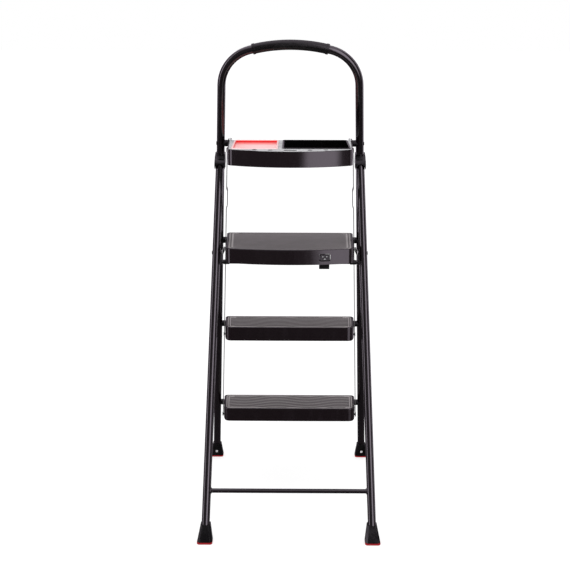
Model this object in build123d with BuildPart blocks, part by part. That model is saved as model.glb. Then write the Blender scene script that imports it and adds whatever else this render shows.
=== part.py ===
from build123d import *
from dataclasses import dataclass
from math import atan, atan2, cos, degrees, radians, sin, tan
import os

# A folding step stool with two steps, a platform, a tool tray and a handrail loop.
# Millimetres, +Z up, +X across the stool. The climbing side faces +Y and the support
# frame stands on -Y. The origin is at floor level, midway between the four feet.

os.makedirs("parts", exist_ok=True)

# ---- driving dimensions -------------------------------------------------------------
tube_d = 22.0               # frame tubing
tube_wall = 1.5
running_gap = 0.05          # radial clearance of pins and slip fits
tube_floor_gap = 12.0       # tube ends stand this far above the floor, inside the feet

foot_y = 279.25             # both tube pairs meet the floor this far from the middle
main_half_floor = 233.5     # half width of the main frame's tube axes at the floor
main_splay = 0.0437         # how much that half width shrinks per mm of height
main_lean = radians(15.0)   # main frame's lean towards the support side
support_half_floor = 226.7  # half width of the support legs' axes at the floor

hinge_half = 190.3          # support leg hinge, on each side
hinge_y = -11.75
hinge_z = 985.0

crown_r = 411.0             # handrail loop: flat crown, joined to the legs by two corners
corner_r = 100.84
crown_angle = radians(15.0)
grip_angle = 13.8           # degrees each side of the crown's middle

skirt_h = 40.0              # every tread is a pressed pan with a skirt this deep
sheet = 2.0
far_corner_r = 12.0         # plan radius of a tread's far corners
lower_corner_r = 7.5        # rolled lower edges along the steps' sides
spacer_len = 10.5           # bush between a tube and a tread
pin_r = 4.0
strap_y = -76.2             # link strap rivets, measured from a tread's pivot
strap_z = -9.0
strap_w = 15.0
strap_t = 1.6

bar_z = 732.0               # platform support bar
bar_r = 5.0
lower_bar_z = 134.3
lower_bar_r = 6.0

# ---- worked out from the driving dimensions -----------------------------------------
tube_r = tube_d / 2
support_splay = (support_half_floor - hinge_half) / hinge_z
support_slope = (foot_y + hinge_y) / hinge_z
loop_splay = main_splay * cos(main_lean)


@dataclass
class Tread:
    """A pan that turns on two pins in the main frame, y and z measured from the pins."""

    name: str
    pivot_z: float          # height of the pins above the floor
    top: float              # the pan's upper edge, above the pins
    near: float             # reach to -Y at the middle of the near edge
    bow: float              # how far that edge bulges beyond its corners
    corner_r: float
    far: float = 10.0       # reach to +Y

    @property
    def pivot_y(self):
        return foot_y - tan(main_lean) * self.pivot_z

    @property
    def half(self):
        return main_half_floor - main_splay * self.pivot_z - tube_r - spacer_len

    def half_at(self, y):
        """Half width of the pan, y measured from the pins."""
        return self.half + loop_splay * y


step_1 = Tread("step_1", pivot_z=206.3, top=20.0, near=107.0, bow=1.0, corner_r=20.0)
step_2 = Tread("step_2", pivot_z=487.4, top=20.0, near=107.0, bow=1.0, corner_r=20.0)
platform = Tread("platform", pivot_z=758.5, top=20.0, near=218.0, bow=22.0, corner_r=22.0)
tray = Tread("tray", pivot_z=1043.2, top=7.0, near=232.0, bow=42.0, corner_r=22.0)
treads = (step_1, step_2, platform, tray)


def save(part, name):
    """Label a finished part and write it as one node."""
    part.label = name
    export_step(part, f"parts/{name}.step")


def save_pair(right_part, name):
    """Write a right-hand part, and its mirror image for the left."""
    save(right_part, f"{name}_right")
    with BuildPart() as left:
        mirror(right_part, about=Plane.YZ)
    save(left.part, f"{name}_left")


def main_axis(z):
    """Point on the right main tube's axis."""
    return Vector(main_half_floor - main_splay * z, foot_y - tan(main_lean) * z, z)


def support_axis(z):
    """Point on the right support leg's axis."""
    return Vector(support_half_floor - support_splay * z, -foot_y + support_slope * z, z)


def leg_plane(axis, z):
    """Plane across a right-hand leg at height z."""
    return Plane(origin=axis(z), x_dir=(1, 0, 0), z_dir=axis(1) - axis(0))


def side_plane(x, y, z):
    """Plane seen from the +X side, its local axes +Y and +Z."""
    return Plane(origin=(x, y, z), x_dir=(0, 1, 0), z_dir=(1, 0, 0))


foot_rivet_z = 22.0         # rivets that hold the main frame's feet, along Y
foot_rivet_r = 2.5
foot_rivet_seat = 12.6      # heads sit in pockets this far from the tube's axis


def foot_rivet_plane(side, out):
    """Plane across a main foot's rivet, a distance out along +Y from the tube's axis."""
    axis = main_axis(foot_rivet_z)
    return Plane(origin=(side * axis.X, axis.Y + out, foot_rivet_z), x_dir=(1, 0, 0),
                 z_dir=(0, 1, 0))


# ---- main frame: one tube from foot to foot, bent over the top into a handrail ------
main_plane = Plane(
    origin=(0, foot_y, 0), x_dir=(1, 0, 0), z_dir=(0, -cos(main_lean), -sin(main_lean))
)
splay_angle = atan(loop_splay)
corner_x = (crown_r - corner_r) * sin(crown_angle)
corner_s = (main_half_floor - corner_x - corner_r / cos(splay_angle)) / loop_splay
crown_s = corner_s - (crown_r - corner_r) * cos(crown_angle)
leg_end = (corner_x + corner_r * cos(splay_angle), corner_s + corner_r * sin(splay_angle))
shoulder = (crown_r * sin(crown_angle), crown_s + crown_r * cos(crown_angle))
tube_foot_s = tube_floor_gap / cos(main_lean)
tube_foot = (main_half_floor - loop_splay * tube_foot_s, tube_foot_s)

with BuildPart() as main_frame_tube:
    with BuildLine(main_plane):
        right_leg = Line(tube_foot, leg_end)
        right_corner = TangentArc(leg_end, shoulder, tangent=right_leg % 1)
        crown = TangentArc(shoulder, (-shoulder[0], shoulder[1]), tangent=right_corner % 1)
        left_corner = TangentArc(
            (-shoulder[0], shoulder[1]), (-leg_end[0], leg_end[1]), tangent=crown % 1
        )
        Line((-leg_end[0], leg_end[1]), (-tube_foot[0], tube_foot[1]))
    with BuildSketch(Plane(origin=right_leg @ 0, z_dir=right_leg % 0)):
        Circle(tube_r)
        Circle(tube_r - tube_wall, mode=Mode.SUBTRACT)
    sweep()
    for tread in treads:
        with BuildSketch(side_plane(0, tread.pivot_y, tread.pivot_z)):
            Circle(pin_r + running_gap)
        extrude(amount=main_half_floor + tube_d, both=True, mode=Mode.SUBTRACT)
    for side in (-1, 1):
        with BuildSketch(foot_rivet_plane(side, 0)):
            Circle(foot_rivet_r + running_gap)
        extrude(amount=tube_d, both=True, mode=Mode.SUBTRACT)
save(main_frame_tube.part, "main_frame_tube")

grip_r = 13.0
grip_collar_r = 14.0
grip_collar_angle = 0.9

with BuildPart() as handle_grip:
    for start, size, outer_r in (
        (90 - grip_angle, 2 * grip_angle, grip_r),
        (90 - grip_angle, grip_collar_angle, grip_collar_r),
        (90 + grip_angle - grip_collar_angle, grip_collar_angle, grip_collar_r),
    ):
        with BuildLine(main_plane) as arc:
            CenterArc((0, crown_s), crown_r, start, size)
        with BuildSketch(Plane(origin=arc.line @ 0, z_dir=arc.line % 0)):
            Circle(outer_r)
            Circle(tube_r + running_gap, mode=Mode.SUBTRACT)
        sweep()
save(handle_grip.part, "handle_grip")

# ---- support frame: two legs, a lower bar and the bar that carries the platform -----
leg_top_overrun = 7.0       # leg beyond its hinge pin
rivet_z = 756.0             # rivets that hold the support bar's tabs to the legs
rivet_r = 3.0
leg_dir = (support_axis(1) - support_axis(0)).normalized()
leg_top_z = hinge_z + leg_top_overrun * leg_dir.Z

with BuildPart() as support_leg:
    with BuildSketch(leg_plane(support_axis, tube_floor_gap)):
        Circle(tube_r)
        Circle(tube_r - tube_wall, mode=Mode.SUBTRACT)
    extrude(amount=(leg_top_z - tube_floor_gap) / leg_dir.Z)
    with BuildSketch(side_plane(0, hinge_y, hinge_z)):
        Circle(pin_r + running_gap)
    extrude(amount=support_half_floor, mode=Mode.SUBTRACT)
    with BuildSketch(side_plane(0, support_axis(rivet_z).Y, rivet_z)):
        Circle(rivet_r + running_gap)
    extrude(amount=support_half_floor, mode=Mode.SUBTRACT)
    with BuildSketch(side_plane(0, support_axis(lower_bar_z).Y, lower_bar_z)):
        Circle(lower_bar_r + running_gap)
    extrude(amount=support_axis(lower_bar_z).X, mode=Mode.SUBTRACT)
save_pair(support_leg.part, "support_leg")

with BuildPart() as support_lower_bar:
    with BuildSketch(side_plane(0, support_axis(lower_bar_z).Y, lower_bar_z)):
        Circle(lower_bar_r)
    extrude(amount=support_axis(lower_bar_z).X - 2.0, both=True)
save(support_lower_bar.part, "support_lower_bar")

tab_x = 183.6               # inner face of the bar's flattened, upturned ends
tab_t = 3.0
tab_w = 16.0
rivet_y = support_axis(rivet_z).Y
bar_y = support_axis(bar_z).Y


def slot_between(start, end, width):
    """A round-ended bar in the current sketch, from one centre to another."""
    run = Vector(*end) - Vector(*start)
    middle = (Vector(*start) + Vector(*end)) / 2
    with Locations((middle.X, middle.Y)):
        SlotCenterToCenter(run.length, width, rotation=degrees(atan2(run.Y, run.X)))


with BuildPart() as platform_support_bar:
    with BuildSketch(side_plane(0, bar_y, bar_z)):
        Circle(bar_r)
    extrude(amount=tab_x, both=True)
    for x in (tab_x, -tab_x - tab_t):
        with BuildSketch(side_plane(x, 0, 0)):
            slot_between((rivet_y, rivet_z), (bar_y, bar_z), tab_w)
            with Locations((rivet_y, rivet_z)):
                Circle(rivet_r + running_gap, mode=Mode.SUBTRACT)
        extrude(amount=tab_t)
save(platform_support_bar.part, "platform_support_bar")

sleeve_x = 171.5            # rubber sleeves on which the platform's side skirts rest
sleeve_w = 16.0
sleeve_r = platform.pivot_z + platform.top - skirt_h - bar_z - 0.1

with BuildPart() as support_bar_sleeves:
    with BuildSketch(side_plane(sleeve_x - sleeve_w / 2, bar_y, bar_z)):
        Circle(sleeve_r)
        Circle(bar_r + running_gap, mode=Mode.SUBTRACT)
    extrude(amount=sleeve_w)
    mirror(about=Plane.YZ)
save(support_bar_sleeves.part, "support_bar_sleeves")

# ---- hinge collars: moulded sleeves on the main tubes, each with a hood over a leg --
collar_half_w = 13.9
collar_back = 14.3          # sleeve radius around the main tube
hood_r = 18.0
fork_gap = 11.9             # half width of the slot that takes the leg
leg_swing_r = 13.6          # room for the leg's top to turn
collar_bottom = -7.0
collar_top = 22.5
arch_top = 9.5
hinge_plane = Plane(
    origin=(hinge_half, hinge_y, hinge_z),
    x_dir=(0, -cos(main_lean), -sin(main_lean)),
    z_dir=(-1, 0, 0),
)
tube_offset = hinge_plane.to_local_coords(main_axis(hinge_z)).X
arch_plane = Plane(
    origin=hinge_plane.from_local_coords((tube_offset + tube_r + 3.5, 0, 0)),
    x_dir=(1, 0, 0),
    z_dir=(0, -cos(main_lean), -sin(main_lean)),
)

with BuildPart() as hinge_collar:
    with BuildSketch(hinge_plane) as hood_side:
        with BuildLine():
            Polyline(
                (0, hood_r),
                (tube_offset + collar_back, collar_top),
                (tube_offset - collar_back, collar_top),
                (tube_offset - collar_back, collar_bottom),
                (hood_r * 0.6, collar_bottom),
                (hood_r, 0),
            )
            ThreePointArc((hood_r, 0), (hood_r * sin(radians(45)), hood_r * cos(radians(45))),
                          (0, hood_r))
        make_face()
    extrude(amount=collar_half_w, both=True)
    fillet(hinge_collar.edges().filter_by(Axis.X, reverse=True), radius=1.6)
    with BuildSketch(leg_plane(main_axis, hinge_z - 60)):
        Circle(tube_r + running_gap)
    extrude(amount=140, mode=Mode.SUBTRACT)
    with BuildSketch(hinge_plane):
        Circle(leg_swing_r)
    extrude(amount=fork_gap, both=True, mode=Mode.SUBTRACT)
    with BuildSketch(arch_plane):
        with Locations((0, arch_top - fork_gap)):
            Circle(fork_gap)
        with Locations((0, arch_top - fork_gap - 20)):
            Rectangle(2 * fork_gap, 40)
    extrude(amount=60, mode=Mode.SUBTRACT)
    with BuildSketch(hinge_plane):
        Circle(pin_r + running_gap)
    extrude(amount=collar_half_w + 1, both=True, mode=Mode.SUBTRACT)
save_pair(hinge_collar.part, "hinge_collar")


with BuildPart() as hinge_pins:
    pin_in = hinge_half - collar_half_w - 0.05
    pin_out = hinge_half + collar_half_w + 0.05
    for x, radius, amount in (
        (pin_in, pin_r, pin_out - pin_in),
        (pin_out, 6.0, 1.0),
        (pin_in, 6.0, -1.0),
    ):
        with BuildSketch(side_plane(x, hinge_y, hinge_z)):
            Circle(radius)
        extrude(amount=amount)
    fillet(hinge_pins.faces().filter_by(Axis.X).sort_by(Axis.X)[-1].edges(), radius=0.7)
    mirror(about=Plane.YZ)
save(hinge_pins.part, "hinge_pins")

link_in = 181.9             # the spreader link's lane beside the tab
link_t = 1.6

rivet_head = 1.0            # the rivets' heads stand this proud of the tubes
head_r = 5.0


def tube_head(axis, z, radius):
    """A low rivet head on the outside of a right-hand tube, in the current part."""
    centre = axis(z)
    with BuildSketch(side_plane(centre.X, centre.Y, centre.Z)) as head:
        Circle(radius)
    extrude(head.sketch, amount=tube_r + rivet_head)
    with BuildSketch(leg_plane(axis, z - 20)) as tube:
        Circle(tube_r + running_gap)
    extrude(tube.sketch, amount=40, mode=Mode.SUBTRACT)


with BuildPart() as support_bar_rivets:
    tube_head(support_axis, rivet_z, head_r)
    head_in = link_in - 0.3
    for x, radius, amount in (
        (head_in, rivet_r, support_axis(rivet_z).X + tube_r - head_in),
        (head_in, 5.0, -1.4),
    ):
        with BuildSketch(side_plane(x, rivet_y, rivet_z)):
            Circle(radius)
        extrude(amount=amount)
    mirror(about=Plane.YZ)
save(support_bar_rivets.part, "support_bar_rivets")

# ---- feet: flared plastic boots with a red rubber sole -------------------------------
sole_h = 5.0
foot_sections = (           # height, width, depth and corner bevel
    (sole_h, 41.5, 31.0, 6.5),
    (49.0, 26.5, 26.5, 4.5),
)


def foot_boot(axis):
    """Right-hand boot around the end of a leg."""
    with BuildPart() as boot:
        for z, width, depth, bevel in foot_sections:
            with BuildSketch(Plane.XY.offset(z)) as section:
                with Locations((axis(z).X, axis(z).Y)):
                    Rectangle(width, depth)
                chamfer(section.vertices(), length=bevel)
        loft(ruled=True)
        with BuildSketch(leg_plane(axis, tube_floor_gap - running_gap)):
            Circle(tube_r + running_gap)
        extrude(amount=100, mode=Mode.SUBTRACT)
    return boot.part


def soles(axis):
    """Both soles of a leg pair, grooved underneath."""
    with BuildPart() as pair:
        centre = (axis(0).X, axis(0).Y)
        with BuildSketch():
            with Locations(centre):
                RectangleRounded(41.6, 31.2, 7.0)
        extrude(amount=sole_h - 0.02)
        fillet(pair.edges().group_by(Axis.Z)[0], radius=1.0)
        with BuildSketch():
            with Locations(centre):
                with GridLocations(0, 7.0, 1, 4):
                    Rectangle(50, 1.6)
        extrude(amount=1.2, mode=Mode.SUBTRACT)
        mirror(about=Plane.YZ)
    return pair.part


with BuildPart() as main_foot:
    add(foot_boot(main_axis))
    with BuildSketch(foot_rivet_plane(1, 0)):
        Circle(foot_rivet_r + running_gap)
    extrude(amount=foot_rivet_seat + 1, both=True, mode=Mode.SUBTRACT)
    for out in (1, -1):
        with BuildSketch(foot_rivet_plane(1, out * foot_rivet_seat)):
            Circle(4.5)
        extrude(amount=out * 12, mode=Mode.SUBTRACT)
save_pair(main_foot.part, "main_foot")

with BuildPart() as main_foot_rivets:
    with BuildSketch(foot_rivet_plane(1, 0)):
        Circle(foot_rivet_r)
    extrude(amount=foot_rivet_seat + 0.05, both=True)
    for out in (1, -1):
        with BuildSketch(foot_rivet_plane(1, out * (foot_rivet_seat + 0.05))):
            Circle(4.0)
        extrude(amount=out * 2.0)
    mirror(about=Plane.YZ)
save(main_foot_rivets.part, "main_foot_rivets")

save_pair(foot_boot(support_axis), "support_foot")
save(soles(main_axis), "main_foot_soles")
save(soles(support_axis), "support_foot_soles")


# ---- treads ---------------------------------------------------------------------------
def tread_face(tread, above_pins, inset=0.0):
    """A tread's outline from above, at a height above its pins, drawn in by inset."""
    near_corner = -(tread.near - tread.bow)
    far = (tread.half_at(tread.far), tread.far)
    near = (tread.half_at(near_corner), near_corner)
    with BuildSketch(Plane((0, tread.pivot_y, tread.pivot_z + above_pins))) as face:
        with BuildLine():
            Line((-far[0], far[1]), far)
            Line(far, near)
            ThreePointArc(near, (0, -tread.near), (-near[0], near[1]))
            Line((-near[0], near[1]), (-far[0], far[1]))
        make_face()
        fillet(face.vertices().group_by(Axis.Y)[0], radius=tread.corner_r)
        fillet(face.vertices().group_by(Axis.Y)[-1], radius=far_corner_r)
        if inset:
            offset(amount=-inset)
    return face.sketch


rim_w = 5.0                 # raised edge around a mat
mat_recess = 3.0
mat_t = 3.4


def pin_holes(tread):
    """Cut a tread's pivot and strap rivet holes through both side skirts."""
    for y, z, radius in ((0, 0, pin_r), (strap_y, strap_z, rivet_r)):
        with BuildSketch(side_plane(0, tread.pivot_y + y, tread.pivot_z + z)) as hole:
            Circle(radius + running_gap)
        extrude(hole.sketch, amount=tread.half + 10, both=True, mode=Mode.SUBTRACT)


def pressed_pan(tread):
    """A pressed sheet tread: skirt, raised edge and a recess for the mat."""
    with BuildPart() as pan:
        extrude(tread_face(tread, tread.top), amount=-skirt_h)
        fillet(pan.edges().group_by(Axis.Z)[-1], radius=1.8)
        under = tread.top - skirt_h
        extrude(tread_face(tread, under, sheet), amount=skirt_h - mat_recess - sheet,
                mode=Mode.SUBTRACT)
        extrude(tread_face(tread, tread.top, rim_w), amount=-mat_recess, mode=Mode.SUBTRACT)
    return pan.part


def round_lower_corners(tread):
    """Round the current pan's two lower edges where its sides meet its underside."""
    along = Vector(loop_splay, 1, 0).normalized()
    near_y = tread.pivot_y - tread.near
    start = Vector(tread.half_at(-tread.near), near_y, tread.pivot_z + tread.top - skirt_h)
    plane = Plane(origin=start, x_dir=(along.Y, -along.X, 0), z_dir=along)
    up = 1 if plane.y_dir.Z > 0 else -1
    with BuildSketch(plane) as sliver:
        with Locations((-lower_corner_r / 2, up * lower_corner_r / 2)):
            Rectangle(lower_corner_r + 1, lower_corner_r + 1)
        with Locations((-lower_corner_r, up * lower_corner_r)):
            Circle(lower_corner_r, mode=Mode.SUBTRACT)
            Rectangle(2 * lower_corner_r, 0.01, mode=Mode.SUBTRACT)
    cutter = extrude(sliver.sketch, amount=tread.near + tread.far + 4, mode=Mode.PRIVATE)
    add(cutter, mode=Mode.SUBTRACT)
    add(mirror(cutter, about=Plane.YZ, mode=Mode.PRIVATE), mode=Mode.SUBTRACT)


def mat(tread):
    """Rubber mat in a tread's recess."""
    with BuildPart() as slab:
        extrude(tread_face(tread, tread.top - mat_recess + 0.01, rim_w + 0.3), amount=mat_t)
        fillet(slab.edges().group_by(Axis.Z)[-1], radius=0.6)
    return slab.part


def pivot_pins(tread):
    """Two rivets, each through a main tube, a bush and the tread's side."""
    centre = main_axis(tread.pivot_z)
    inner_x = tread.half - sheet - 3.6  # clear of the rounded far corner
    with BuildPart() as pins:
        tube_head(main_axis, tread.pivot_z, head_r)
        with BuildSketch(side_plane(inner_x, centre.Y, centre.Z)):
            Circle(pin_r)
        extrude(amount=centre.X + tube_r - inner_x)
        with BuildSketch(side_plane(inner_x, centre.Y, centre.Z)):
            Circle(5.2)
        extrude(amount=-2.0)
        mirror(about=Plane.YZ)
    return pins.part


def bushes(tread):
    """Spacer bushes between the main tubes and the tread, saddled onto the tubes."""
    centre = main_axis(tread.pivot_z)
    with BuildPart() as pair:
        with BuildSketch(side_plane(tread.half + 0.5, centre.Y, centre.Z)):
            Circle(9.0)
            Circle(pin_r + running_gap, mode=Mode.SUBTRACT)
        extrude(amount=centre.X - tread.half - 0.5)
        with BuildSketch(leg_plane(main_axis, tread.pivot_z - 20)):
            Circle(tube_r + running_gap)
        extrude(amount=40, mode=Mode.SUBTRACT)
        mirror(about=Plane.YZ)
    return pair.part


strap_gap = 1.8             # from the tread's side to the strap


def strap_rivets(tread):
    """Two rivets from a tread's side skirts through the link straps."""
    y = tread.pivot_y + strap_y
    z = tread.pivot_z + strap_z
    wall = tread.half_at(strap_y)
    with BuildPart() as rivets:
        for x, radius, amount in (
            (wall - sheet - 2.8, 5.0, 1.4),
            (wall - sheet - 1.4, rivet_r, sheet + 1.4 + strap_gap + strap_t + 0.25),
            (wall + strap_gap + strap_t + 0.25, 6.0, 0.9),
        ):
            with BuildSketch(side_plane(x, y, z)):
                Circle(radius)
            extrude(amount=amount)
        fillet(rivets.faces().filter_by(Axis.X).sort_by(Axis.X)[-1].edges(), radius=0.7)
        mirror(about=Plane.YZ)
    return rivets.part


for tread in treads:
    save(pivot_pins(tread), f"{tread.name}_pivot_pins")
    save(bushes(tread), f"{tread.name}_bushes")
    save(strap_rivets(tread), f"{tread.name}_strap_rivets")

for tread in (step_1, step_2):
    with BuildPart() as step_tread:
        add(pressed_pan(tread))
        round_lower_corners(tread)
        pin_holes(tread)
    save(step_tread.part, f"{tread.name}_tread")
    save(mat(tread), f"{tread.name}_mat")

# ---- platform and its release latch -----------------------------------------------------
latch_x = 93.0
latch_w = 27.5
latch_axis = (-124.25, 747.0)    # y and z of the lever's pin
latch_pin_r = 2.0
pad_w = 28.0
pad_h = 16.5
pad_z = 757.5
ear_t = 1.5
ear_x = 22.0                # bracket ears, each side of the lever's middle
deck_under = platform.pivot_z + platform.top - mat_recess - sheet - 0.02
bow_half = platform.half_at(platform.bow - platform.near)
skirt_slope = 2 * platform.bow * latch_x / bow_half ** 2
skirt_face = platform.pivot_y - platform.near + platform.bow * (latch_x / bow_half) ** 2


def pad_plane(out):
    """Plane along the near skirt at the latch, a distance out from its face."""
    outward = Vector(skirt_slope, -1, 0).normalized()
    return Plane(origin=Vector(latch_x, skirt_face, pad_z) + outward * out,
                 x_dir=(1, skirt_slope, 0), z_dir=outward)


with BuildPart() as platform_deck:
    add(pressed_pan(platform))
    pin_holes(platform)
    with BuildSketch(pad_plane(-6)):
        RectangleRounded(pad_w + 2.4, pad_h + 3.2, 5.0)
    extrude(amount=12, mode=Mode.SUBTRACT)
save(platform_deck.part, "platform_deck")
save(mat(platform), "platform_mat")

with BuildPart() as latch_bracket:
    with BuildSketch(Plane((latch_x, latch_axis[0] + 5, deck_under))):
        Rectangle(2 * ear_x, 20)
    extrude(amount=-ear_t)
    for x in (latch_x - ear_x, latch_x + ear_x - ear_t):
        with BuildSketch(side_plane(x, latch_axis[0], 0)):
            with BuildLine():
                Polyline((-5, deck_under), (-4, latch_axis[1] - 4), (4, latch_axis[1] - 4),
                         (14, deck_under), close=True)
            make_face()
            with Locations((0, latch_axis[1])):
                Circle(latch_pin_r + running_gap, mode=Mode.SUBTRACT)
        extrude(amount=ear_t)
save(latch_bracket.part, "latch_bracket")

with BuildPart() as latch_pin:
    with BuildSketch(side_plane(latch_x, *latch_axis)):
        Circle(latch_pin_r)
    extrude(amount=ear_x + 0.2, both=True)
    for x, amount in ((latch_x - ear_x - 0.1, -1.2), (latch_x + ear_x + 0.1, 1.2)):
        with BuildSketch(side_plane(x, *latch_axis)):
            Circle(3.4)
        extrude(amount=amount)
save(latch_pin.part, "latch_pin")

arm_under = latch_axis[1] - 4.5
arm_top = latch_axis[1] + 4.0
hook_back = bar_y - bar_r - 1.4     # the hook stands just clear of the support bar
hook_low = 717.0
nose_y = bar_y - 1.3
plate_top = 765.5
plate_front = skirt_face + 4.4

with BuildPart() as latch_lever:
    with BuildSketch(side_plane(latch_x - latch_w / 2, 0, 0)):
        with BuildLine():
            Polyline(
                (plate_front, plate_top),
                (plate_front, arm_under),
                (hook_back - 11, arm_under),
                (hook_back - 11, hook_low),
                (nose_y, hook_low),
                (nose_y, 721.8),
                (hook_back, 724.8),
                (hook_back, arm_top),
                (plate_front + 6, arm_top),
                (plate_front + 3, plate_top),
                close=True,
            )
        make_face()
    extrude(amount=latch_w)
    with BuildSketch(pad_plane(-5)):
        RectangleRounded(pad_w, pad_h, 4.4)
    extrude(amount=6.5)
    fillet(latch_lever.faces().sort_by(Axis.Y)[0].edges(), radius=1.0)
    with BuildSketch(side_plane(latch_x, *latch_axis)):
        Circle(latch_pin_r + running_gap)
    extrude(amount=latch_w, both=True, mode=Mode.SUBTRACT)
save(latch_lever.part, "latch_lever")

with BuildPart() as latch_spring:
    with BuildLine() as coil:
        Helix(pitch=1.6, height=4.8, radius=4.0, direction=(1, 0, 0),
              center=(latch_x + latch_w / 2 + 1.2, *latch_axis))
    with BuildSketch(Plane(origin=coil.line @ 0, z_dir=coil.line % 0)):
        Circle(0.6)
    sweep(is_frenet=True)
save(latch_spring.part, "latch_spring")

# ---- tray: a steel pan, a grey insert and two lift-out bins -------------------------------
ear_far = 1.0               # raised ears at the pivots run from here, in y from the pins
ear_near = -19.0
pan_ear_top = 13.0
insert_ear_top = 14.0
insert_t = 3.0
tub_wall = 2.0
notch_w = 15.0              # openings in the insert's side walls, for the rivet heads
notch_low = -16.0
bin_near = -179.25
tray_strip = 80.0
bin_far = 0.75
bin_depth = 34.0
bins = {"red_bin": (-150.0, -31.0), "black_bin": (-20.0, 154.0)}
tool_holes = ((0.0, -207.0, 34.0), (-50.0, -204.0, 12.5), (50.0, -204.0, 12.5),
              (-90.0, -197.5, 12.5), (90.0, -197.5, 12.5))
tool_hole_depth = 13.5      # from near to far
insert_top = tray.pivot_z + tray.top + 0.5

insert_floor = tray.pivot_z + tray.top - skirt_h + sheet + 0.05
ear_middle = tray.pivot_y + (ear_near + ear_far) / 2

with BuildPart() as tray_pan:
    extrude(tread_face(tray, tray.top), amount=-skirt_h)
    extrude(tread_face(tray, tray.top, sheet), amount=sheet - skirt_h, mode=Mode.SUBTRACT)
    for side in (-1, 1):
        wall = side * (tray.half - sheet / 2)
        with BuildSketch(Plane((wall, ear_middle, tray.pivot_z + tray.top - 2))):
            Rectangle(sheet, ear_far - ear_near)
        extrude(amount=pan_ear_top - tray.top + 2)
    pin_holes(tray)
save(tray_pan.part, "tray_pan")

with BuildPart() as tray_insert:
    lip = sheet + 0.9
    extrude(tread_face(tray, tray.top + 0.5, lip), amount=insert_floor - insert_top)
    inside_top = tread_face(tray, tray.top + 0.5 - insert_t, lip + tub_wall)
    extrude(inside_top, amount=insert_floor + tub_wall - insert_top + insert_t, mode=Mode.SUBTRACT)
    near_strip = bin_near - 4.0     # the tub is open below the plate with the tool holes
    with BuildSketch(Plane((0, near_strip - tray_strip / 2, insert_top - insert_t))):
        Rectangle(3 * tray.half, tray_strip)
    extrude(amount=-skirt_h, mode=Mode.SUBTRACT)
    for side in (-1, 1):
        with BuildSketch(Plane((side * (tray.half - lip - 3.6), ear_middle, insert_top))):
            Rectangle(4.6, ear_far - ear_near)
        extrude(amount=insert_ear_top - tray.top - 0.5)
    for x_low, x_high in bins.values():
        with BuildSketch(Plane((0, 0, insert_top))):
            with Locations(((x_low + x_high) / 2, (bin_near + bin_far) / 2)):
                RectangleRounded(x_high - x_low - 3.4, bin_far - bin_near - 3.4, 7.0)
        extrude(amount=-insert_t, mode=Mode.SUBTRACT)
    for x, y, length in tool_holes:
        with BuildSketch(Plane((0, 0, insert_top))):
            with Locations((x, y)):
                RectangleRounded(length, tool_hole_depth, 6.0)
        extrude(amount=-insert_t, mode=Mode.SUBTRACT)
    notch_top = insert_top - 2
    for side in (-1, 1):
        for y in (tray.pivot_y, tray.pivot_y + strap_y):
            with BuildSketch(Plane((side * tray.half, y, notch_top))):
                Rectangle(24, notch_w)
            extrude(amount=tray.pivot_z + notch_low - notch_top, mode=Mode.SUBTRACT)
save(tray_insert.part, "tray_insert")


def bin_cup(x_low, x_high):
    """A thin-walled bin that hangs in the insert by its lip."""
    centre = ((x_low + x_high) / 2, (bin_near + bin_far) / 2)
    width = x_high - x_low
    depth = bin_far - bin_near
    with BuildPart() as cup:
        with BuildSketch(Plane((*centre, insert_top + 0.02))):
            RectangleRounded(width, depth, 8.5)
        extrude(amount=1.8)
        with BuildSketch(Plane((*centre, insert_top + 0.02))):
            RectangleRounded(width - 4.4, depth - 4.4, 6.5)
        extrude(amount=-bin_depth)
        with BuildSketch(Plane((*centre, insert_top + 1.82))):
            RectangleRounded(width - 8.0, depth - 8.0, 4.8)
        extrude(amount=1.8 - bin_depth, mode=Mode.SUBTRACT)
    return cup.part


for name, (x_low, x_high) in bins.items():
    save(bin_cup(x_low, x_high), name)

# ---- link straps: they keep the steps and the tray parallel to the platform ---------------
jog_in = 2.6
jog_low = 879.0
jog_high = 922.0
jog_run = 9.0


def strap_centre(tread):
    """Centre of the right strap's thickness at a tread's strap rivet."""
    x = tread.half_at(strap_y) + strap_gap + strap_t / 2
    return Vector(x, tread.pivot_y + strap_y, tread.pivot_z + strap_z)


strap_foot = strap_centre(step_1)
strap_head = strap_centre(tray)
strap_dir = (strap_head - strap_foot).normalized()
strap_len = (strap_head - strap_foot).length
strap_normal = Vector(1, 0, 0).cross(strap_dir)
strap_plane = Plane(
    origin=strap_foot, x_dir=strap_dir.cross(strap_normal), z_dir=strap_normal
)


def ribbon(points, thickness):
    """Corners of a strip of constant thickness in x along a line of points."""
    half = thickness / 2
    return [(x + half, y) for x, y in points] + [(x - half, y) for x, y in reversed(points)]


with BuildPart() as link_strap:
    low = (jog_low - strap_foot.Z) / strap_dir.Z
    high = (jog_high - strap_foot.Z) / strap_dir.Z
    centre_line = [(0, -strap_w), (0, low - jog_run), (-jog_in, low), (-jog_in, high),
                   (0, high + jog_run), (0, strap_len + strap_w)]
    with BuildSketch(strap_plane):
        with BuildLine():
            Polyline(*ribbon(centre_line, strap_t), close=True)
        make_face()
    extrude(amount=strap_w, both=True)
    with BuildSketch(side_plane(strap_foot.X, 0, 0)):
        slot_between((strap_foot.Y, strap_foot.Z), (strap_head.Y, strap_head.Z), strap_w)
    extrude(amount=4 * tube_d, both=True, mode=Mode.INTERSECT)
    for tread in treads:
        with BuildSketch(side_plane(0, tread.pivot_y + strap_y, tread.pivot_z + strap_z)):
            Circle(rivet_r + running_gap)
        extrude(amount=main_half_floor, mode=Mode.SUBTRACT)
save_pair(link_strap.part, "link_strap")

# ---- spreader links: between the support bar's rivets and the platform --------------------
link_w = 14.0
link_joggle = 0.6
link_far = (platform.pivot_y + strap_y, platform.pivot_z + strap_z)

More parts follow.
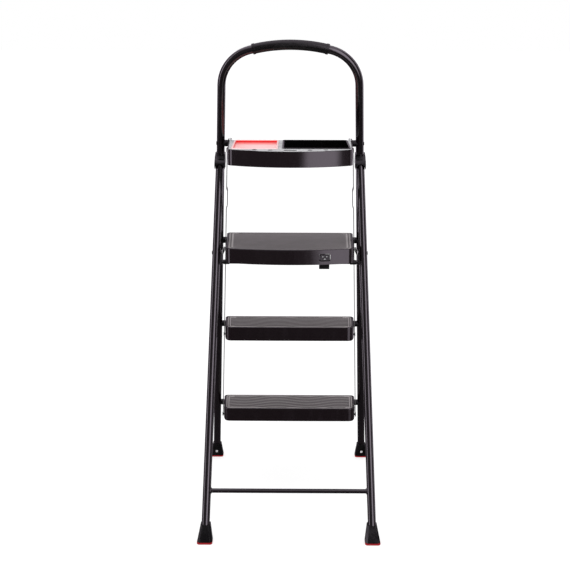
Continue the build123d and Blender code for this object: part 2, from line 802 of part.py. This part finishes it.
with BuildPart() as spreader_link:
    lane = link_in + link_t / 2
    centre_line = [(lane, rivet_y - link_w), (lane, rivet_y + 20), (lane - link_joggle, rivet_y + 34),
                   (lane - link_joggle, link_far[0] + link_w)]
    with BuildSketch(Plane.XY.offset(rivet_z)):
        with BuildLine():
            Polyline(*ribbon(centre_line, link_t), close=True)
        make_face()
    extrude(amount=60, both=True)
    with BuildSketch(side_plane(lane, 0, 0)):
        slot_between((rivet_y, rivet_z), link_far, link_w)
    extrude(amount=10, both=True, mode=Mode.INTERSECT)
    with BuildSketch(side_plane(lane - 5, rivet_y, rivet_z)):
        Circle(rivet_r + running_gap)
    extrude(amount=10, mode=Mode.SUBTRACT)
    with BuildSketch(side_plane(lane - link_joggle + link_t / 2, *link_far)):
        Circle(5.0)
    extrude(amount=1.2)
save_pair(spreader_link.part, "spreader_link")
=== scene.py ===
import math

import bpy
import numpy as np
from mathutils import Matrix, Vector
from mathutils.geometry import convex_hull_2d


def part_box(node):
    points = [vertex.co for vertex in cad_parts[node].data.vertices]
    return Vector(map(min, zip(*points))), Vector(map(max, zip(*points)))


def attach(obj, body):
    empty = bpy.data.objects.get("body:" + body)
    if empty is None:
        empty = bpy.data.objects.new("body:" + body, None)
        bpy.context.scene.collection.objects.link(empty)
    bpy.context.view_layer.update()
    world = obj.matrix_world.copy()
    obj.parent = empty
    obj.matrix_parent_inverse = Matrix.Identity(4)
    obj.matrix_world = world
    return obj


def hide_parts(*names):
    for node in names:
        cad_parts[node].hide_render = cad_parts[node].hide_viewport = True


# Looks of a folding step stool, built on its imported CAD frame. Metres, +Z up, the
# support frame on -Y, the climbing side on +Y.

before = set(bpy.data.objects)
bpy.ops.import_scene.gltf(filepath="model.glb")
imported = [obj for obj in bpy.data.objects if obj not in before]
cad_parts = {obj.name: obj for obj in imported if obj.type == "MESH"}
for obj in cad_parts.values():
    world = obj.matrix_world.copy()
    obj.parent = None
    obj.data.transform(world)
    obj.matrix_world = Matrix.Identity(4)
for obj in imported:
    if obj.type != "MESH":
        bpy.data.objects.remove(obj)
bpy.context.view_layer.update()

MM = 0.001
TUBE_R = 11.0 * MM

# The view; the angles are in degrees, the pitch from straight down.
CAMERA_SPOT = (0.0010, -2.7128, 1.373)
CAMERA_PITCH = 75.0
CAMERA_ROLL = -0.14
CAMERA_YAW = 0.335
CAMERA_LENS = 63.16
CAMERA_SENSOR = 36.0


# ---- shader helpers -----------------------------------------------------------------
class Nodes:
    """An emptied node tree with short calls for the nodes used here."""

    def __init__(self, tree):
        self.tree = tree
        self.tree.nodes.clear()

    def add(self, kind, inputs=None, **settings):
        """A new node; inputs are values or other nodes' outputs, by name or number."""
        node = self.tree.nodes.new(kind)
        for key, value in settings.items():
            setattr(node, key, value)
        for key, value in (inputs or {}).items():
            if isinstance(value, bpy.types.NodeSocket):
                self.tree.links.new(value, node.inputs[key])
            else:
                node.inputs[key].default_value = value
        return node

    def math(self, operation, a, b=0.0, c=0.0):
        return self.add("ShaderNodeMath", {0: a, 1: b, 2: c}, operation=operation).outputs[0]

    def spread(self, value, low, high, to_low=0.0, to_high=1.0):
        """value moved smoothly from the range low..high to to_low..to_high, and clamped."""
        node = self.add("ShaderNodeMapRange", {
            "Value": value, "From Min": low, "From Max": high,
            "To Min": to_low, "To Max": to_high,
        }, interpolation_type="SMOOTHSTEP")
        return node.outputs["Result"]


class Shader(Nodes):
    """A material built from nodes, ending in one surface."""

    def __init__(self, name):
        self.material = bpy.data.materials.new(name)
        self.material.use_nodes = True
        super().__init__(self.material.node_tree)
        self.output = self.add("ShaderNodeOutputMaterial")
        self.place = self.add("ShaderNodeTexCoord").outputs["Object"]

    def mix(self, factor, a, b):
        node = self.add("ShaderNodeMix", data_type="RGBA")
        for socket, value in (("Factor", factor), ("A", a), ("B", b)):
            target = next(s for s in node.inputs if s.name == socket and s.enabled)
            if isinstance(value, bpy.types.NodeSocket):
                self.tree.links.new(value, target)
            else:
                target.default_value = value
        return next(s for s in node.outputs if s.enabled)

    def noise(self, scale, detail=3.0, stretch=(1, 1, 1), roughness=0.55):
        """Noise over the object's own coordinates, stretched along an axis by a small number."""
        moved = self.add("ShaderNodeMapping", {"Vector": self.place, "Scale": stretch})
        node = self.add("ShaderNodeTexNoise", {
            "Vector": moved.outputs[0], "Scale": scale, "Detail": detail,
            "Roughness": roughness,
        })
        return node.outputs["Fac"]

    def edge_normal(self, radius):
        """Normal with every edge softened to this radius."""
        return self.add("ShaderNodeBevel", {"Radius": radius}, samples=4).outputs[0]

    def edge_mask(self, soft_normal, low=0.02, high=0.25):
        """1 on edges and corners, 0 on open faces."""
        face = self.add("ShaderNodeNewGeometry").outputs["Normal"]
        dot = self.add("ShaderNodeVectorMath", {0: soft_normal, 1: face},
                       operation="DOT_PRODUCT").outputs["Value"]
        return self.spread(self.math("SUBTRACT", 1.0, dot), low, high)

    def levelness(self):
        """1 on level faces, 0 on upright ones."""
        face = self.add("ShaderNodeNewGeometry").outputs["Normal"]
        up = self.add("ShaderNodeSeparateXYZ", {0: face}).outputs["Z"]
        return self.math("ABSOLUTE", up)

    def bump(self, height, distance, normal):
        """The normal, tilted by a height field of this depth."""
        return self.add("ShaderNodeBump", {
            "Strength": 1.0, "Distance": distance, "Height": height, "Normal": normal,
        }).outputs[0]

    def finish(self, **inputs):
        """Closes the tree with one Principled surface."""
        named = {key.replace("_", " "): value for key, value in inputs.items()}
        surface = self.add("ShaderNodeBsdfPrincipled", named)
        self.tree.links.new(surface.outputs[0], self.output.inputs["Surface"])
        return self.material


def grey(value, warm=0.0):
    """A near-neutral colour; warm above 0 leans to red, below 0 to blue."""
    return (value * (1 + warm), value, value * (1 - warm), 1.0)


# ---- materials ----------------------------------------------------------------------
def gloss_paint(name, colour, sheen, peel_scale=420.0, peel_depth=0.00002, coat=0.2):
    """Black powder coat: orange peel, dust and faint handling marks, thin on edges."""
    s = Shader(name)
    edge = s.edge_normal(0.0009)
    peel = s.noise(peel_scale, 2.0)
    marks = s.noise(26.0, 6.0, (1, 1, 0.25), 0.7)
    dust = s.spread(marks, 0.48, 0.78)
    worn = s.math("MULTIPLY", s.edge_mask(edge), s.spread(s.noise(60.0, 4.0), 0.45, 0.75))
    base = s.mix(s.math("MULTIPLY", dust, 0.35), colour, sheen)
    base = s.mix(s.math("MULTIPLY", worn, 0.12), base, grey(0.10, 0.05))
    rough = s.spread(marks, 0.3, 0.8, 0.13, 0.22)
    return s.finish(Base_Color=base, Roughness=rough, Specular_IOR_Level=0.5,
                    Coat_Weight=coat, Coat_Roughness=0.1,
                    Normal=s.bump(peel, peel_depth, edge))


def moulding(name, colour, dusty, roughness=0.5, grain=900.0, depth=0.0001):
    """Moulded black plastic or soft rubber with a fine even grain."""
    s = Shader(name)
    edge = s.edge_normal(0.0007)
    grain_noise = s.noise(grain, 2.0)
    cloud = s.noise(35.0, 5.0, roughness=0.65)
    rubbed = s.math("MULTIPLY", s.edge_mask(edge), s.spread(cloud, 0.4, 0.7))
    base = s.mix(s.spread(cloud, 0.4, 0.8, 0.0, 0.5), colour, dusty)
    base = s.mix(s.math("MULTIPLY", rubbed, 0.5), base, dusty)
    rough = s.spread(cloud, 0.3, 0.75, roughness - 0.07, roughness + 0.1)
    return s.finish(Base_Color=base, Roughness=rough, Specular_IOR_Level=0.45,
                    Normal=s.bump(grain_noise, depth, edge))


def zinc_plate():
    """Zinc-plated steel: fine brushing along Z, cloudy spangle, duller hollows. Each
    object's own colour sets how bright its plating is."""
    s = Shader("zinc")
    edge = s.edge_normal(0.0005)
    brushed = s.noise(1500.0, 2.0, (1, 1, 0.02))
    cloud = s.noise(90.0, 4.0)
    plating = s.add("ShaderNodeObjectInfo").outputs["Color"]
    base = s.mix(s.spread(cloud, 0.35, 0.7, 0.0, 0.3), plating, grey(0.05))
    base = s.mix(s.math("MULTIPLY", s.edge_mask(edge), 0.7), base, grey(0.03))
    rough = s.spread(s.math("ADD", s.math("MULTIPLY", brushed, 0.5),
                            s.math("MULTIPLY", cloud, 0.5)), 0.3, 0.7, 0.3, 0.48)
    return s.finish(Base_Color=base, Metallic=0.35, Roughness=rough,
                    Normal=s.bump(brushed, 0.00004, edge))


def rib_rubber(name, valley_shade, crest_highlight, worn):
    """Mat rubber: crests painted pale as a painted highlight, valleys painted dark as painted
    shade, and paler worn scuffs where feet touch the crests.
    """
    s = Shader(name)
    rib = s.add("ShaderNodeAttribute", attribute_name="rib").outputs["Fac"]
    normal = s.add("ShaderNodeNewGeometry").outputs["Normal"]
    cloud = s.noise(22.0, 6.0, roughness=0.7)
    grain = s.noise(1400.0, 2.0)
    # painted highlight on the crests and raised lines, painted shade in the valleys
    base = s.mix(rib, valley_shade, crest_highlight)
    scuffed = s.math("MULTIPLY", s.spread(rib, 0.5, 1.0), s.spread(cloud, 0.42, 0.72))
    base = s.mix(s.math("MULTIPLY", scuffed, 0.7), base, worn)
    rough = s.spread(cloud, 0.3, 0.75, 0.5, 0.66)
    return s.finish(Base_Color=base, Roughness=rough, Specular_IOR_Level=0.25,
                    Normal=s.bump(grain, 0.00006, normal))


HOLES_NEAR = -219.0 * MM        # the tray's tool holes lie between these, along Y; their walls get painted shade
HOLES_FAR = -184.0 * MM
HOLES_FADE = 2.0 * MM


def insert_plastic():
    """Light grey moulding with a faint grain, rubbed edges and painted shade on the tool holes'
    walls.
    """
    s = Shader("tray_insert")
    edge = s.edge_normal(0.0008)
    cloud = s.noise(30.0, 5.0)
    base = s.mix(s.spread(cloud, 0.35, 0.75), grey(0.50, -0.012), grey(0.60, -0.012))
    base = s.mix(s.math("MULTIPLY", s.edge_mask(edge), 0.4), base, grey(0.74, -0.01))
    spot = s.add("ShaderNodeSeparateXYZ", {0: s.place}).outputs["Y"]
    # painted shade: upright faces between the tool holes' limits are painted near black
    wall = s.spread(s.levelness(), 0.2, 0.6, 1.0, 0.0)
    near = s.spread(spot, HOLES_FAR - HOLES_FADE, HOLES_FAR, 1.0, 0.0)
    inside = s.math("MULTIPLY", near, s.spread(spot, HOLES_NEAR, HOLES_NEAR + HOLES_FADE))
    hole_wall_shade = s.math("MULTIPLY", wall, inside)
    base = s.mix(s.math("MULTIPLY", hole_wall_shade, 0.96), base, grey(0.004))
    rough = s.spread(cloud, 0.3, 0.7, 0.36, 0.5)
    return s.finish(Base_Color=base, Roughness=rough,
                    Normal=s.bump(s.noise(1100.0, 2.0), 0.00005, edge))


BIN_LIP = (1.2 * MM, 2.2 * MM)      # depths below the bin's top where its red band starts
BIN_BAND = (4.0 * MM, 17.0 * MM)    # and where it fades into pink


def clear_red():
    """Tinted clear moulding: pink where light comes through, deep red below its lip, and a painted
    glow of its tint seen only by the camera.
    """
    s = Shader("red_bin")
    edge = s.edge_normal(0.0008)
    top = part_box("red_bin")[1].z
    height = s.add("ShaderNodeSeparateXYZ", {0: s.place}).outputs["Z"]
    depth = s.math("SUBTRACT", top, height)
    below_lip = s.spread(depth, *BIN_LIP)
    band = s.math("MULTIPLY", below_lip, s.spread(depth, *BIN_BAND, 1.0, 0.0))
    cloud = s.spread(s.noise(70.0, 4.0), 0.35, 0.7)
    level = s.spread(s.levelness(), 0.4, 0.9)
    pink = s.mix(s.math("MULTIPLY", cloud, 0.3), (1.0, 0.70, 0.70, 1), (1.0, 0.78, 0.78, 1))
    pink = s.mix(s.math("MULTIPLY", level, below_lip), pink, (0.80, 0.26, 0.26, 1))
    tint = s.mix(band, pink, (0.74, 0.02, 0.02, 1))
    glow_for_camera = s.add("ShaderNodeLightPath").outputs["Is Camera Ray"]
    see_through = s.add("ShaderNodeBsdfTransparent", {"Color": tint})
    body = s.add("ShaderNodeBsdfPrincipled", {
        "Base Color": tint,
        "Roughness": s.spread(cloud, 0.0, 1.0, 0.1, 0.2),
        "Coat Weight": 0.3,
        "Emission Color": tint,
        # painted glow: the bin emits its tint to camera rays, though it is no lamp
        "Emission Strength": s.math("MULTIPLY", glow_for_camera, 0.42),
        "Normal": s.bump(s.noise(300.0, 2.0), 0.00003, edge),
    })
    mixed = s.add("ShaderNodeMixShader", {0: 0.85})
    s.tree.links.new(see_through.outputs[0], mixed.inputs[1])
    s.tree.links.new(body.outputs[0], mixed.inputs[2])
    s.tree.links.new(mixed.outputs[0], s.output.inputs["Surface"])
    return s.material


materials = {
    "tube": gloss_paint("tube", (0.0040, 0.0026, 0.0032, 1), (0.012, 0.009, 0.011, 1), coat=0.9),
    "tread_paint": gloss_paint("tread_paint", (0.0060, 0.0034, 0.0042, 1),
                               (0.015, 0.010, 0.013, 1), 300.0, 0.00002),
    "grip_rubber": moulding("grip_rubber", grey(0.0025, 0.03), grey(0.008), 0.30, 700.0, 0.00005),
    "black_moulding": moulding("black_moulding", grey(0.0018), grey(0.007), 0.26, 850.0, 0.00004),
    "sole_rubber": moulding("sole_rubber", (0.33, 0.002, 0.006, 1),
                            (0.40, 0.02, 0.025, 1), 0.5, 600.0),
    # the mats' colours: painted shade in the valleys, painted highlight on the crests and lines,
    # then worn scuffs
    "step_mat": rib_rubber("step_mat", (0.030, 0.026, 0.027, 1), (0.50, 0.46, 0.465, 1),
                           (0.56, 0.52, 0.525, 1)),
    "platform_mat": rib_rubber("platform_mat", (0.070, 0.062, 0.064, 1),
                               (0.46, 0.43, 0.43, 1), (0.50, 0.47, 0.47, 1)),
    "tray_insert": insert_plastic(),
    "red_bin": clear_red(),
    "black_bin": gloss_paint("black_bin", grey(0.0010), grey(0.003), 180.0, 0.00002),
    "zinc": zinc_plate(),
    "black_rivet": moulding("black_rivet", grey(0.004), grey(0.016), 0.3, 500.0, 0.00004),
}

STRAP_GREY = 0.11               # how bright the zinc is on the link straps
BRIGHT_ZINC = 0.72              # and on every other plated piece

for name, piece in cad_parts.items():
    slot_name = piece.data.materials[0].name.split(".")[0]
    piece.data.materials[0] = materials[slot_name]
    plating = STRAP_GREY if name.startswith("link_strap") else BRIGHT_ZINC
    piece.color = grey(plating)


# ---- mesh helpers -------------------------------------------------------------------
def new_piece(name, points, faces, slot_name, body):
    """A smooth mesh object that rides on a body."""
    mesh = bpy.data.meshes.new(name)
    mesh.from_pydata([tuple(p) for p in points], [], faces)
    mesh.update()
    mesh.shade_smooth()
    piece = bpy.data.objects.new(name, mesh)
    bpy.context.scene.collection.objects.link(piece)
    mesh.materials.append(materials[slot_name])
    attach(piece, body)
    return piece


def outline(node):
    """Right half of a node's outline from above: y and half width, from -Y to +Y."""
    flat = [Vector((v.co.x, v.co.y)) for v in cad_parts[node].data.vertices]
    loop = [flat[i] for i in convex_hull_2d(flat)]
    right = sorted((p.y, p.x) for p in loop if p.x >= 0)
    low, high = right[0], right[-1]
    ys = np.array([low[0]] + [y for y, _ in right] + [high[0]])
    xs = np.array([0.0] + [x for _, x in right] + [0.0])
    return ys, xs


def edge_distance(ys, xs, points):
    """Distance of each point from a symmetric outline."""
    ring = np.concatenate([np.stack([xs, ys], 1), np.stack([-xs, ys], 1)[::-1]])
    nearest = np.full(len(points), 1.0)
    for a, b in zip(ring, np.roll(ring, -1, 0)):
        run = b - a
        size = float(run @ run)
        if size < 1e-12:
            continue
        share = np.clip((points - a) @ run / size, 0, 1)[:, None]
        gap = np.linalg.norm(points - a - share * run, axis=1)
        nearest = np.minimum(nearest, gap)
    return nearest


def smooth(value, low, high):
    share = np.clip((value - low) / (high - low), 0, 1)
    return share * share * (3 - 2 * share)


MAT_ROUND = 1.2 * MM            # the mats' outer edges fall away over this width
MAT_FALL = 0.9 * MM


def mat_piece(node, body, slot_name, profile, row_step, column_step):
    """A mat's moulded top over the whole outline of its CAD node, closed underneath.
    profile gives height and painted paleness (painted highlight on crests and lines) from x, y and
    the distance to the edge."""
    low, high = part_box(node)
    ys, xs = outline(node)
    inner = np.arange(low.y + row_step, high.y - row_step / 2, row_step)
    ends = row_step * np.array([0.02, 0.1, 0.25, 0.5])
    rows = np.concatenate([low.y + ends, inner, high.y - ends[::-1]])
    half = np.interp(rows, ys, xs)
    columns = int(round((high.x - low.x) / column_step))
    share = np.linspace(-1, 1, columns + 1)
    x = half[:, None] * share[None, :]
    y = np.repeat(rows[:, None], columns + 1, 1)
    flat = np.stack([x.ravel(), y.ravel()], 1)
    gap = edge_distance(ys, xs, flat)
    height, rib = profile(flat[:, 0], flat[:, 1], gap)
    height = height - MAT_FALL * (1 - smooth(gap, 0, MAT_ROUND))
    top = np.column_stack([flat, high.z + height])
    count = columns + 1
    faces = [
        (r * count + c, r * count + c + 1, (r + 1) * count + c + 1, (r + 1) * count + c)
        for r in range(len(rows) - 1) for c in range(columns)
    ]
    loop = list(range(count))
    loop += [r * count + columns for r in range(1, len(rows))]
    loop += [(len(rows) - 1) * count + c for c in range(columns - 1, -1, -1)]
    loop += [r * count for r in range(len(rows) - 2, 0, -1)]
    first = len(top)
    under = np.column_stack([flat[loop], np.full(len(loop), low.z)])
    for i, here in enumerate(loop):
        after = (i + 1) % len(loop)
        faces.append((here, first + i, first + after, loop[after]))
    faces.append(tuple(range(first + len(loop) - 1, first - 1, -1)))
    piece = new_piece(f"{node}_moulded", np.concatenate([top, under]), faces, slot_name, body)
    # the rib attribute holds the painted paleness: painted highlight on crests and lines
    values = np.concatenate([rib, np.zeros(len(loop))]).astype(np.float32)
    piece.data.attributes.new("rib", "FLOAT", "POINT").data.foreach_set("value", values)
    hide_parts(node)
    return piece


# ---- mats ---------------------------------------------------------------------------
STEP_PITCH = 13.4 * MM
STEP_WAVE = 7.0 * MM            # swing of the ribs along Y
STEP_WAVE_LEN = 195.0 * MM
STEP_WAVE_X = -40.0 * MM        # where the ribs swing furthest towards -Y
STEP_RIB_Y = -3.25 * MM         # a rib's crest, before the swing
RIB_H = 2.2 * MM
RIB_HIGHLIGHT = 0.5              # painted highlight on the rib crests, as a share of the raised lines' paleness
EDGE_LINE = 3.0 * MM            # a raised line follows the edge at this distance,
END_LINE = 9.0 * MM             # and at both ends a second one lies inside it
STEP_LINE_W = 1.5 * MM          # half widths of the lines
END_ZONE = (30.0 * MM, 24.0 * MM)   # the ends fade in between these distances from them


def raised_line(gap, place, half_w):
    """1 on a line that follows the edge at this distance, 0 elsewhere."""
    return 1 - smooth(np.abs(gap - place), half_w * 0.4, half_w)


def near_ends(x):
    """1 near a mat's left and right ends, 0 between them."""
    reach = np.abs(x).max()
    return smooth(np.abs(x), reach - END_ZONE[0], reach - END_ZONE[1])


def inner_field(end, gap, along, at_ends):
    """1 inside the border, 0 in it; along and at_ends are its fades' (start, stop) there."""
    return (1 - end) * smooth(gap, *along) + end * smooth(gap, *at_ends)


def step_profile(x, y, gap):
    """Wavy ribs inside a raised line, with a second line at each end; crests and lines carry a
    painted highlight.
    """
    swing = -STEP_WAVE * np.cos(2 * np.pi * (x - STEP_WAVE_X) / STEP_WAVE_LEN)
    phase = np.cos(2 * np.pi * (y - STEP_RIB_Y - swing) / STEP_PITCH)
    rib = smooth(phase, -0.35, 0.9)
    end = near_ends(x)
    inside = inner_field(end, gap, (5.0 * MM, 6.5 * MM), (10.5 * MM, 12.5 * MM))
    lines = raised_line(gap, EDGE_LINE, STEP_LINE_W)
    lines = lines + end * raised_line(gap, END_LINE, STEP_LINE_W)
    share = np.clip(rib * inside + lines, 0, 1)
    # painted highlight: full on the raised lines, half of that on the rib crests, none in the
    # valleys
    pale = np.clip(RIB_HIGHLIGHT * rib * inside + lines, 0, 1)
    return (share - 1) * RIB_H, pale


PLATFORM_PITCH = 4.2 * MM
PLATFORM_END_LINE = 11.0 * MM
PLATFORM_EDGE_W = 1.8 * MM      # half widths of the edge line and the end line
PLATFORM_END_W = 2.2 * MM
LINE_H = 0.6 * MM


def platform_profile(x, y, gap):
    """Fine straight lines inside a thin raised line, with double lines at the ends; the share is
    also the painted paleness, a painted highlight that is brightest on the end lines.
    """
    phase = np.cos(2 * np.pi * y / PLATFORM_PITCH)
    rib = 0.14 + 0.20 * smooth(phase, -0.6, 0.6)
    end = near_ends(x)
    inside = inner_field(end, gap, (4.5 * MM, 5.5 * MM), (13.0 * MM, 14.0 * MM))
    lines = (0.45 + 0.5 * end) * raised_line(gap, EDGE_LINE, PLATFORM_EDGE_W)
    lines = lines + end * raised_line(gap, PLATFORM_END_LINE, PLATFORM_END_W)
    share = np.clip(rib * inside + lines, 0, 1)
    # share gives both height and the painted highlight paleness
    return (share - 1) * LINE_H, share


for step in ("step_1", "step_2"):
    mat_piece(f"{step}_mat", step, "step_mat", step_profile, 1.0 * MM, 2.0 * MM)
mat_piece("platform_mat", "platform", "platform_mat", platform_profile, 0.8 * MM, 4.0 * MM)


# ---- weld beads where the lower bar meets the support legs ---------------------------
BEAD_AROUND = 72                # points round the bar and across the bead
BEAD_ACROSS = 10
BEAD_RIPPLES = 14
BEAD_SIZE = 2.1 * MM
BEAD_RIPPLE = 0.22 * MM         # how much each ripple adds to the size
BEAD_GAP = 0.3 * MM             # from the bar's wall to the bead's middle
BEAD_STAND = 0.2 * MM            # how far the bead's middle stands off the leg's wall
BAR_SHORT = 2.0 * MM            # the bar stops this far short of the leg's axis


def weld_bead(side):
    """A rippled bead round the lower bar, lying on the leg's round wall."""
    low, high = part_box("support_lower_bar")
    leg_low, leg_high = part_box("support_leg_right")
    bar_y = (low.y + high.y) / 2
    bar_z = (low.z + high.z) / 2
    bar_r = (high.z - low.z) / 2
    ring_r = bar_r + BEAD_GAP
    axis_x = high.x + BAR_SHORT
    tall = leg_high.z - leg_low.z
    slope_x = -(leg_high.x - leg_low.x - 2 * TUBE_R) / tall
    slope_y = (leg_high.y - leg_low.y - 2 * TUBE_R) / tall
    around, across = BEAD_AROUND, BEAD_ACROSS
    points = []
    for i in range(around):
        turn = 2 * math.pi * i / around
        dy = ring_r * math.cos(turn)
        dz = ring_r * math.sin(turn)
        off = min(abs(dy - slope_y * dz), TUBE_R * 0.98)
        wall = axis_x + slope_x * dz - math.sqrt(TUBE_R ** 2 - off ** 2)
        size = BEAD_SIZE + BEAD_RIPPLE * math.sin(BEAD_RIPPLES * turn)
        for j in range(across):
            lap = 2 * math.pi * j / across
            out = ring_r + size * math.sin(lap)
            x = wall - BEAD_STAND + size * math.cos(lap)
            points.append((side * x, bar_y + out * math.cos(turn), bar_z + out * math.sin(turn)))
    faces = []
    for i in range(around):
        for j in range(across):
            a = i * across + j
            b = i * across + (j + 1) % across
            c = ((i + 1) % around) * across + (j + 1) % across
            d = ((i + 1) % around) * across + j
            faces.append((a, b, c, d) if side > 0 else (d, c, b, a))
    name = "weld_bead_right" if side > 0 else "weld_bead_left"
    return new_piece(name, points, faces, "tube", "support_frame")


weld_bead(1)
weld_bead(-1)


# ---- plain marks printed on the release pad ------------------------------------------
PAD_Z = 757.5 * MM
MARK_LIFT = 0.12 * MM           # the marks stand this proud of the pad
MARK_ROOT = 0.10 * MM           # and start this deep in it
MARK_POINTS = 20
# each mark's place across and up from the pad's middle, then its half width and height, mm
PAD_MARKS = ((-5.2, 2.9, 1.7, 1.0), (5.2, 2.9, 1.7, 1.0), (0.0, -3.4, 2.4, 1.0))


def pad_mark(number, across, up, half_w, half_h):
    """A thin printed oval on the pad's face; sizes in millimetres from the pad's middle."""
    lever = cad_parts["latch_lever"]
    low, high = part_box("latch_lever")
    middle_x = (low.x + high.x) / 2
    inward = Vector((0, 1, 0))
    face, root = [], []
    for i in range(MARK_POINTS):
        turn = 2 * math.pi * i / MARK_POINTS
        x = middle_x + (across + half_w * math.cos(turn)) * MM
        z = PAD_Z + (up + half_h * math.sin(turn)) * MM
        hit, spot, _, _ = lever.ray_cast(Vector((x, low.y - 50 * MM, z)), inward)
        y = spot.y if hit else low.y
        face.append((x, y - MARK_LIFT, z))
        root.append((x, y + MARK_ROOT, z))
    count = MARK_POINTS
    sides = [((i + 1) % count, i, count + i, count + (i + 1) % count) for i in range(count)]
    ends = [tuple(range(count)), tuple(range(2 * count - 1, count - 1, -1))]
    mark = new_piece(f"pad_mark_{number}", face + root, ends + sides, "tray_insert", "latch_lever")
    mark.data.shade_flat()


for number, mark in enumerate(PAD_MARKS, 1):
    pad_mark(number, *mark)


# ---- studio -------------------------------------------------------------------------
# What reflections see: soft boxes by direction round the object (0 toward the camera, 90
# to the right), half width and soft edge in degrees, and strength; then the glow between.
SOFT_BOXES = (
    (31.0, 13.0, 8.0, 2.5),
    (-74.0, 7.0, 4.0, 2.3),
    (104.0, 5.0, 5.0, 1.4),
    (140.0, 8.0, 6.0, 1.0),
    (-152.0, 8.0, 6.0, 1.0),
)
BOX_FOOT = (-0.42, -0.22)       # sine of the elevation where the boxes fade in
BOX_HEAD = (0.6, 0.85)          # and out
FRONT_GLOW = 0.12
BACK_GLOW = 0.25
GLOW_TURN = (95.0, 170.0)       # directions between which one turns into the other
TOP_GLOW = 1.0
GLOW_GREEN = 0.88               # reflections lean slightly to purple
GLOW_BLUE = 1.02


def studio_world():
    """White to the camera, an even light on matt surfaces, and soft strips in reflections."""
    world = bpy.data.worlds.new("studio")
    bpy.context.scene.world = world
    world.use_nodes = True
    n = Nodes(world.node_tree)
    ray = n.add("ShaderNodeLightPath")
    spot = n.add("ShaderNodeTexCoord").outputs["Generated"]
    parts = n.add("ShaderNodeSeparateXYZ", {0: spot})
    toward = n.math("MULTIPLY", parts.outputs["Y"], -1.0)
    turn = n.math("ARCTAN2", parts.outputs["X"], toward)
    rise = parts.outputs["Z"]
    round_back = [math.radians(angle) for angle in GLOW_TURN]
    glow = n.spread(n.math("ABSOLUTE", turn), *round_back, FRONT_GLOW, BACK_GLOW)
    glow = n.math("MULTIPLY", glow, n.spread(rise, -0.45, 0.0, 0.45, 1.0))
    glow = n.math("ADD", glow, n.spread(rise, 0.55, 0.95, 0.0, TOP_GLOW))
    upright = n.math("MULTIPLY", n.spread(rise, *BOX_FOOT), n.spread(rise, *BOX_HEAD, 1.0, 0.0))
    for centre, half_w, soft, strength in SOFT_BOXES:
        off = n.math("ABSOLUTE", n.math("SUBTRACT", turn, math.radians(centre)))
        band = n.spread(off, math.radians(half_w), math.radians(half_w + soft), strength, 0.0)
        glow = n.math("ADD", glow, n.math("MULTIPLY", band, upright))
    tint = n.add("ShaderNodeCombineColor", {
        "Red": glow,
        "Green": n.math("MULTIPLY", glow, GLOW_GREEN),
        "Blue": n.math("MULTIPLY", glow, GLOW_BLUE),
    })
    mirror = n.add("ShaderNodeBackground", {"Color": tint.outputs[0], "Strength": 1.0})
    even = n.add("ShaderNodeBackground", {"Color": (1, 1, 1, 1), "Strength": 1.0})
    pick = n.add("ShaderNodeMixShader", {0: ray.outputs["Is Glossy Ray"]})
    out = n.add("ShaderNodeOutputWorld")
    n.tree.links.new(even.outputs[0], pick.inputs[1])
    n.tree.links.new(mirror.outputs[0], pick.inputs[2])
    n.tree.links.new(pick.outputs[0], out.inputs["Surface"])


def studio_floor():
    """A pale, faintly mottled floor."""
    s = Shader("studio_floor")
    cloud = s.noise(3.0, 3.0)
    base = s.mix(cloud, grey(0.40), grey(0.42))
    s.finish(Base_Color=base, Roughness=0.9, Specular_IOR_Level=0.0,
             Emission_Color=grey(1.0), Emission_Strength=0.68)
    size = 40.0
    mesh = bpy.data.meshes.new("studio_floor")
    mesh.from_pydata([(-size, -size, 0), (size, -size, 0), (size, size, 0), (-size, size, 0)],
                     [], [(0, 1, 2, 3)])
    mesh.materials.append(s.material)
    floor = bpy.data.objects.new("studio_floor", mesh)
    floor.visible_glossy = False
    bpy.context.scene.collection.objects.link(floor)


def area_light(name, spot, target, size, power):
    data = bpy.data.lights.new(name, "AREA")
    data.shape = "RECTANGLE"
    data.size, data.size_y = size
    data.energy = power
    lamp = bpy.data.objects.new(name, data)
    lamp.location = spot
    lamp.visible_glossy = False
    lamp.rotation_mode = "QUATERNION"
    lamp.rotation_quaternion = (Vector(target) - Vector(spot)).to_track_quat("-Z", "Y")
    bpy.context.scene.collection.objects.link(lamp)


studio_world()
studio_floor()
middle = (0.0, 0.0, 0.7)
area_light("overhead", (0.3, -0.6, 3.4), middle, (2.4, 2.4), 16.0)
area_light("front_fill", (-1.6, -3.0, 2.2), middle, (1.4, 1.8), 14.0)

camera_data = bpy.data.cameras.new("camera")
camera_data.lens = CAMERA_LENS
camera_data.sensor_width = CAMERA_SENSOR
camera = bpy.data.objects.new("camera", camera_data)
camera.location = CAMERA_SPOT
turns = (CAMERA_PITCH, CAMERA_ROLL, CAMERA_YAW)
camera.rotation_euler = [math.radians(turn) for turn in turns]
bpy.context.scene.collection.objects.link(camera)
bpy.context.scene.camera = camera
bpy.context.scene.view_settings.view_transform = "Standard"
